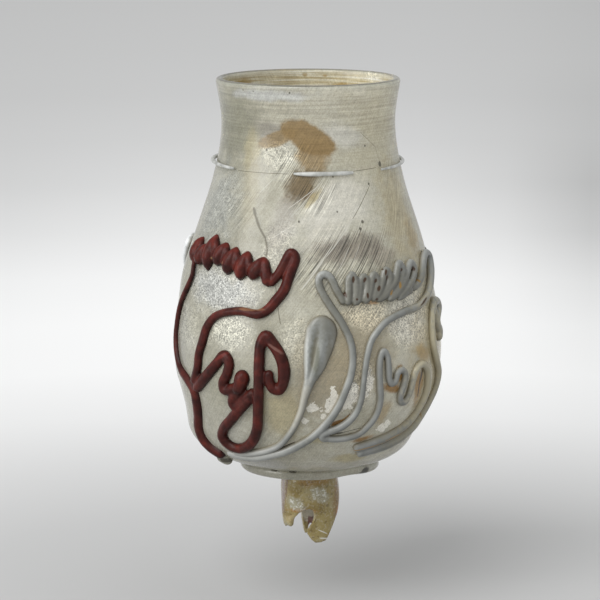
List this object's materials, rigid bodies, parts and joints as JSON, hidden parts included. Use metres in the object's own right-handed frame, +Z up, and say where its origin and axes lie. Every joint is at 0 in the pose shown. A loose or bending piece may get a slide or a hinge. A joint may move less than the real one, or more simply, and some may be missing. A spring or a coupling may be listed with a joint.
{
  "type": "goblet",
  "caption": "Blown glass goblet: pear-shaped bowl with a flared round lip, looped red and white glass trails, a wound foot ring and a hollow stem knop with a broken edge.",
  "frame": {"origin": "on the goblet's axis, in the plane of the foot ring's flat underside, where a display stand carries it", "axes": "+Z up along the goblet's axis towards the lip; +Y away from the front; the front between the red and the white motif faces -Y"},
  "size_m": [0.091, 0.093, 0.1588],
  "materials": {
    "clear_glass": "weathered colourless glass, milky and scratched",
    "red_glass": "opaque dark red glass, satin",
    "white_glass": "opaque grey-white glass, satin"
  },
  "bodies": {
    "root": {"bowl": "clear_glass", "foot_ring": "clear_glass", "stem": "clear_glass", "red_crest_trail_front_left": "red_glass", "red_outline_trail_front_left": "red_glass", "red_brow_trail_front_left": "red_glass", "red_zigzag_trail_front_left": "red_glass", "red_scroll_trail_front_left": "red_glass", "white_crest_trail_front_right": "white_glass", "white_cheek_trail_front_right": "white_glass", "white_brow_trail_front_right": "white_glass", "white_zigzag_trail_front_right": "white_glass", "white_outline_trail_front_right": "white_glass", "red_crest_trail_back_right": "red_glass", "red_outline_trail_back_right": "red_glass", "red_brow_trail_back_right": "red_glass", "red_zigzag_trail_back_right": "red_glass", "red_scroll_trail_back_right": "red_glass", "white_crest_trail_back_left": "white_glass", "white_cheek_trail_back_left": "white_glass", "white_brow_trail_back_left": "white_glass", "white_zigzag_trail_back_left": "white_glass", "white_outline_trail_back_left": "white_glass", "leaf_front": "white_glass", "leaf_right": "white_glass", "clear_drop": "clear_glass", "neck_thread_front": "white_glass", "neck_thread_back": "white_glass"}
  },
  "joints": []
}
